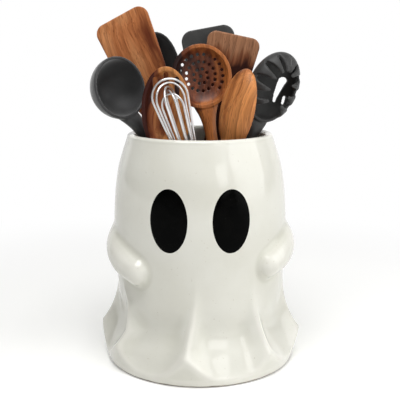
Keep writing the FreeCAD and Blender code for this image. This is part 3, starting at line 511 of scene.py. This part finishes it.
def makeEye(name, node, side):
    mesh = bmesh.new()
    bmesh.ops.create_circle(mesh, cap_ends=True, radius=1, segments=eyes["segments"])
    inner = list(mesh.faces)
    ringDepth = (1 - eyes["border"]) / eyes["rings"] * eyes["ringsFill"]
    for ring in range(eyes["rings"]):
        depth = ringDepth if ring else eyes["border"]
        bmesh.ops.inset_region(mesh, faces=inner, thickness=depth, use_even_offset=True, use_boundary=True)
    mesh.normal_update()
    for v in mesh.verts:
        across, up = v.co.x, v.co.y
        x = side * eyes["apart"] / 2 + across * eyes["wide"] / 2
        z = eyes["height"] + up * eyes["tall"] / 2
        swell = eyes["proud"] * max(0, 1 - math.hypot(across, up) ** eyes["squareness"])
        radius = drapeAt(z) + swell - eyes["buried"] * eyes["sunkShare"]
        v.co = Vector((x, -math.sqrt(radius ** 2 - x ** 2), z)) * mm
    bmesh.ops.recalc_face_normals(mesh, faces=mesh.faces)
    if sum(f.normal.y * f.calc_area() for f in mesh.faces) > 0:
        bmesh.ops.reverse_faces(mesh, faces=mesh.faces)
    bmesh.ops.solidify(mesh, geom=list(mesh.faces), thickness=eyes["buried"] * mm)
    return finished(name, mesh, "crock", "black_glaze", node)


def blackGlaze():
    made, tree, shader = newMaterial("blackGlaze")
    where = objectPlace(tree)
    cloud = noise(tree, where, eyes["cloudScale"], *eyes["cloudDetail"])
    feed(tree, shader.inputs["Base Color"],
         blendColour(tree, spread(tree, cloud, *eyes["cloudSpan"]), *eyes["tones"]))
    gloss = noise(tree, where, eyes["glossScale"], detail=3)
    feed(tree, shader.inputs["Roughness"], spread(tree, gloss, *noiseSpan, *eyes["roughness"]))
    shader.inputs["Specular IOR Level"].default_value = eyes["specular"]
    addBump(tree, shader, noise(tree, where, eyes["rippleScale"]), eyes["bumpTall"], eyes["bumpStrength"])
    return made


glazeBlack = blackGlaze()
for eyeName, eyeNode, eyeSide in (("eyeLeft", "left_eye", -1), ("eyeRight", "right_eye", 1)):
    makeEye(eyeName, eyeNode, eyeSide).data.materials.append(glazeBlack)
print("eyes drawn")


# utensils: merged copies of the solids with worn, rounded edges

def straightStem(mesh, axis, stem):
    # below the cut the handle keeps one section down to its rounded foot
    foot = min(v.co.dot(axis) for v in mesh.verts)
    bmesh.ops.bisect_plane(mesh, geom=mesh.verts[:] + mesh.edges[:] + mesh.faces[:],
                           plane_co=axis * (foot + stem["cut"] * mm), plane_no=axis, clear_inner=True)
    made = bmesh.ops.extrude_edge_only(mesh, edges=[e for e in mesh.edges if e.is_boundary])["geom"]
    lower = [g for g in made if isinstance(g, bmesh.types.BMVert)]
    bmesh.ops.translate(mesh, verts=lower, vec=-axis * stem["cut"] * mm)
    rim = [e for e in mesh.edges if e.is_boundary]
    bmesh.ops.holes_fill(mesh, edges=rim)
    bmesh.ops.bevel(mesh, geom=rim, offset=stem["round"] * mm, segments=4, profile=0.5, affect="EDGES")
    bmesh.ops.recalc_face_normals(mesh, faces=mesh.faces)


def soften(name, node, body, slot, voxel=0, passes=0, stem=None):
    mesh = bmesh.new()
    mesh.from_mesh(nodes[node].data)
    bmesh.ops.remove_doubles(mesh, verts=mesh.verts, dist=mergeWithin)
    if stem:
        straightStem(mesh, lifts[body], stem)
    made = finished(name, mesh, body, slot, node)
    made.data.materials.clear()
    if voxel:
        rounding = made.modifiers.new("rounding", "REMESH")
        rounding.mode = "VOXEL"
        rounding.voxel_size = voxel * mm
        rounding.use_smooth_shade = True
    if passes:
        easing = made.modifiers.new("easing", "SMOOTH")
        easing.factor, easing.iterations = 0.5, passes
    return made


def headMiddle(piece, axis, headLong=60):
    spots = np.array([v.co for v in piece.data.vertices])
    along = spots @ np.array(axis)
    head = spots[along > along.max() - headLong * mm]
    return Vector((head.min(0) + head.max(0)) / 2)


def dressWood(name, node, body, look):
    piece = soften(name, node, body, look["slot"], look["voxel"], look["passes"], look.get("stem"))
    made, tree, shader = newMaterial(name)
    turn = lifts[body].rotation_difference(Vector((0, 0, 1)))
    shift = turn @ -headMiddle(piece, lifts[body])
    where = remap(tree, objectPlace(tree), turn=turn.to_euler(), shift=shift)
    grain = useGroup(tree, woodGrain, Vector=where, Light=look["light"], Mid=look["mid"], Dark=look["dark"],
                     Streaks=look["streaks"], Sideways=look.get("shadeAcross", 0.0),
                     Lengthways=look.get("shadeAlong", 0.0), Lines=look["lines"],
                     Level=look.get("level", 0.0))
    feed(tree, shader.inputs["Base Color"], grain["Colour"])
    feed(tree, shader.inputs["Roughness"], grain["Roughness"])
    shader.inputs["Specular IOR Level"].default_value = look["oil"]
    addBump(tree, shader, grain["Height"], grainLook["bumpTall"], grainLook["bumpStrength"])
    piece.data.materials.append(made)


# wooden utensils: colours, how many streaks, painted shade and light across and along the head, growth lines
woods = {
    "turnerLight": {"node": "wooden_turner", "slot": "acacia", "voxel": 0.75, "passes": 8,
                    "light": (0.6, 0.26, 0.105), "mid": (0.45, 0.155, 0.052), "dark": (0.13, 0.028, 0.008),
                    "streaks": 34, "shadeAlong": 5.0, "level": 0.1, "lines": 0.4, "oil": 0.2},
    "turnerWalnut": {"node": "walnut_turner", "slot": "walnut", "voxel": 0.75, "passes": 8,
                     "light": (0.37, 0.175, 0.09), "mid": (0.2, 0.066, 0.027), "dark": (0.03, 0.006, 0.003),
                     "streaks": 50, "shadeAlong": 28.0, "level": -0.28, "lines": 0.4, "oil": 0.2},
    "skimmerWood": {"node": "skimmer", "slot": "acacia", "voxel": 0.48, "passes": 1,
                    "stem": {"cut": 130, "round": 2},
                    "light": (0.47, 0.155, 0.04), "mid": (0.18, 0.046, 0.015), "dark": (0.018, 0.004, 0.003),
                    "streaks": 36, "shadeAcross": 12.0, "level": 0.07, "lines": 0.3, "oil": 0.35},
    "spoonSlotted": {"node": "slotted_spoon", "slot": "acacia", "voxel": 0.6, "passes": 4,
                     "light": (0.6, 0.25, 0.08), "mid": (0.27, 0.076, 0.024), "dark": (0.05, 0.009, 0.005),
                     "streaks": 50, "shadeAcross": 22.0, "level": 0.14, "lines": 0.4, "oil": 0.25},
    "spoonWooden": {"node": "wooden_spoon", "slot": "acacia", "voxel": 0.6, "passes": 5,
                    "light": (0.68, 0.27, 0.085), "mid": (0.47, 0.16, 0.047), "dark": (0.14, 0.045, 0.016),
                    "streaks": 48, "level": 0.02, "lines": 0.5, "oil": 0.25},
}
for woodName, woodLook in woods.items():
    dressWood(woodName, woodLook["node"], woodLook["node"], woodLook)
print("wooden utensils dressed")

# handles of the moulded utensils, out of sight in the crock at rest
beech = {
    "slot": "beech", "voxel": 0.7, "passes": 4,
    "light": (0.5, 0.31, 0.165), "mid": (0.42, 0.245, 0.12), "dark": (0.27, 0.14, 0.065),
    "streaks": 60, "lines": 0.3, "oil": 0.2,
}
for handleBody in ("ladle", "pasta_server", "black_spoon", "grey_turner"):
    dressWood("handle_" + handleBody, handleBody + "_handle", handleBody, beech)
print("handles dressed")

moulded = {
    "ladleHead": {"node": "ladle_head", "body": "ladle", "voxel": 0.8, "passes": 5,
                  "colour": (0.016, 0.016, 0.0165), "bloom": (0.034, 0.034, 0.035), "sheen": 0.6},
    "serverHead": {"node": "pasta_server_head", "body": "pasta_server", "voxel": 0.6, "passes": 3,
                   "colour": (0.022, 0.0215, 0.021), "bloom": (0.042, 0.042, 0.041), "sheen": 0.15},
    "turnerGrey": {"node": "grey_turner_blade", "body": "grey_turner", "voxel": 0.7, "passes": 2,
                   "colour": (0.036, 0.036, 0.035), "bloom": (0.066, 0.066, 0.065), "sheen": 0.15},
    "spoonBlack": {"node": "black_spoon_head", "body": "black_spoon", "voxel": 0.8, "passes": 5,
                   "colour": (0.006, 0.006, 0.0065), "bloom": (0.014, 0.014, 0.015), "sheen": 0.1},
}


def dressMoulded(name, look):
    piece = soften(name, look["node"], look["body"], "grey_silicone", look["voxel"], look["passes"])
    made, tree, shader = newMaterial(name)
    skin = useGroup(tree, mouldedSkin, Vector=objectPlace(tree), Body=look["colour"], Bloom=look["bloom"])
    feed(tree, shader.inputs["Base Color"], skin["Colour"])
    feed(tree, shader.inputs["Roughness"], skin["Roughness"])
    addBump(tree, shader, skin["Height"], skinLook["bumpTall"], skinLook["bumpStrength"])
    shader.inputs["Sheen Weight"].default_value = look["sheen"]
    shader.inputs["Sheen Roughness"].default_value = skinLook["sheenRoughness"]
    piece.data.materials.append(made)


for headName, headLook in moulded.items():
    dressMoulded(headName, headLook)
print("moulded heads dressed")


# whisk, loops of drawn steel wire in a steel handle
whisk = {
    "loops": 5, "gripVoxel": 0.6, "gripPasses": 3,
    "stainScale": 70, "stainDetail": (4, 0.6), "tones": ((0.7, 0.7, 0.705), (0.86, 0.86, 0.862)),
    "hairStretch": (1, 1, 0.05), "hairScale": 2400, "roughness": (0.33, 0.42),
}


def drawnSteel():
    made, tree, shader = newMaterial("drawnSteel")
    where = objectPlace(tree)
    stain = noise(tree, where, whisk["stainScale"], *whisk["stainDetail"])
    feed(tree, shader.inputs["Base Color"],
         blendColour(tree, spread(tree, stain, *noiseSpan), *whisk["tones"]))
    hair = noise(tree, remap(tree, where, whisk["hairStretch"]), whisk["hairScale"])
    feed(tree, shader.inputs["Roughness"], spread(tree, hair, *noiseSpan, *whisk["roughness"]))
    shader.inputs["Metallic"].default_value = 1
    return made


steel = drawnSteel()
for wire in range(1, whisk["loops"] + 1):
    loop = soften(f"whiskLoop{wire}", f"whisk_wire_{wire}", "whisk", "steel")
    loop.data.materials.append(steel)
grip = soften("whiskGrip", "whisk_handle", "whisk", "steel", whisk["gripVoxel"], whisk["gripPasses"])
grip.data.materials.append(steel)
print("whisk dressed")


# floor, backdrop and light, in m and W
stageSet = {
    "size": 8, "floor": (0.93, 0.93, 0.915), "lift": 0.22, "fadeFrom": 0.16, "fadeTo": 0.6,
    "white": (1.0, 1.0, 1.0), "world": 0.2, "room": 0.16, "sweepSpan": (0.5, 0.66),
}
lamps = {
    "topPanel": {"spot": (-0.1, -0.42, 1.25), "aim": (0, 0, 0.12), "size": (0.9, 0.7), "power": 12},
    "rightPanel": {"spot": (1.2, -0.4, 0.65), "aim": (0, 0, 0.12), "size": (1.2, 1.2), "power": 8.5},
    "window": {"spot": (0.6, -1.04, 0.5), "aim": (0, 0, 0.15), "size": (0.3, 0.4), "power": 0.9},
}


def backdropRay(tree):
    path = place(tree, "ShaderNodeLightPath").outputs
    seen = calc(tree, "MAXIMUM", path["Is Camera Ray"], path["Is Glossy Ray"])
    return calc(tree, "MAXIMUM", seen, path["Is Transmission Ray"])


def paper():
    # lit paper near the crock, which fades to plain white further out
    made = bpy.data.materials.new("paper")
    made.use_nodes = True
    tree = made.node_tree
    tree.nodes.clear()
    lit = fill(tree, place(tree, "ShaderNodeBsdfDiffuse"), Color=stageSet["floor"]).outputs[0]
    seen = backdropRay(tree)
    glow = fill(tree, place(tree, "ShaderNodeEmission"), Color=stageSet["floor"],
                Strength=calc(tree, "MULTIPLY", seen, stageSet["lift"])).outputs[0]
    near = place(tree, "ShaderNodeAddShader")
    feed(tree, near.inputs[0], lit)
    feed(tree, near.inputs[1], glow)
    plain = fill(tree, place(tree, "ShaderNodeEmission"), Color=stageSet["white"], Strength=1.0).outputs[0]
    far = place(tree, "ShaderNodeVectorMath", operation="LENGTH")
    feed(tree, far.inputs[0], objectPlace(tree))
    fade = spread(tree, far.outputs["Value"], stageSet["fadeFrom"], stageSet["fadeTo"])
    blend = place(tree, "ShaderNodeMixShader")
    feed(tree, blend.inputs[0], calc(tree, "MULTIPLY", fade, seen))
    feed(tree, blend.inputs[1], near.outputs[0])
    feed(tree, blend.inputs[2], plain)
    feed(tree, place(tree, "ShaderNodeOutputMaterial").inputs["Surface"], blend.outputs[0])
    return made


def studio():
    # a white sweep behind the crock and a dimmer room in front of it, as its glaze mirrors them
    made = bpy.data.worlds.new("studio")
    made.use_nodes = True
    tree = made.node_tree
    backdrop = tree.nodes["Background"]
    feed(tree, backdrop.inputs["Color"], stageSet["white"])
    way = axesOf(tree, place(tree, "ShaderNodeTexCoord").outputs["Generated"])
    mirrored = spread(tree, way["Y"], *stageSet["sweepSpan"], stageSet["room"], 1.0)
    rays = place(tree, "ShaderNodeLightPath").outputs
    mirrored = calc(tree, "MULTIPLY", mirrored, backdropRay(tree))
    white = calc(tree, "MAXIMUM", rays["Is Camera Ray"], mirrored)
    unseen = calc(tree, "SUBTRACT", 1.0, backdropRay(tree))
    light = calc(tree, "MULTIPLY", unseen, stageSet["world"])
    feed(tree, backdrop.inputs["Strength"], calc(tree, "ADD", white, light))
    return made


def softLamp(name, spot, aim, size, power):
    data = bpy.data.lights.new(name, "AREA")
    data.shape = "RECTANGLE"
    data.size, data.size_y = size
    data.energy = power
    made = bpy.data.objects.new(name, data)
    made.location = spot
    made.rotation_euler = (Vector(aim) - Vector(spot)).to_track_quat("-Z", "Y").to_euler()
    bpy.context.scene.collection.objects.link(made)


bpy.ops.mesh.primitive_plane_add(size=stageSet["size"], location=(0, 0, 0))
floor = bpy.context.object
floor.name = "floor"
floor.data.materials.append(paper())
bpy.context.scene.world = studio()
for lampName, lamp in lamps.items():
    softLamp(lampName, **lamp)
bpy.context.scene.view_settings.view_transform = "Standard"
print("stage lit")
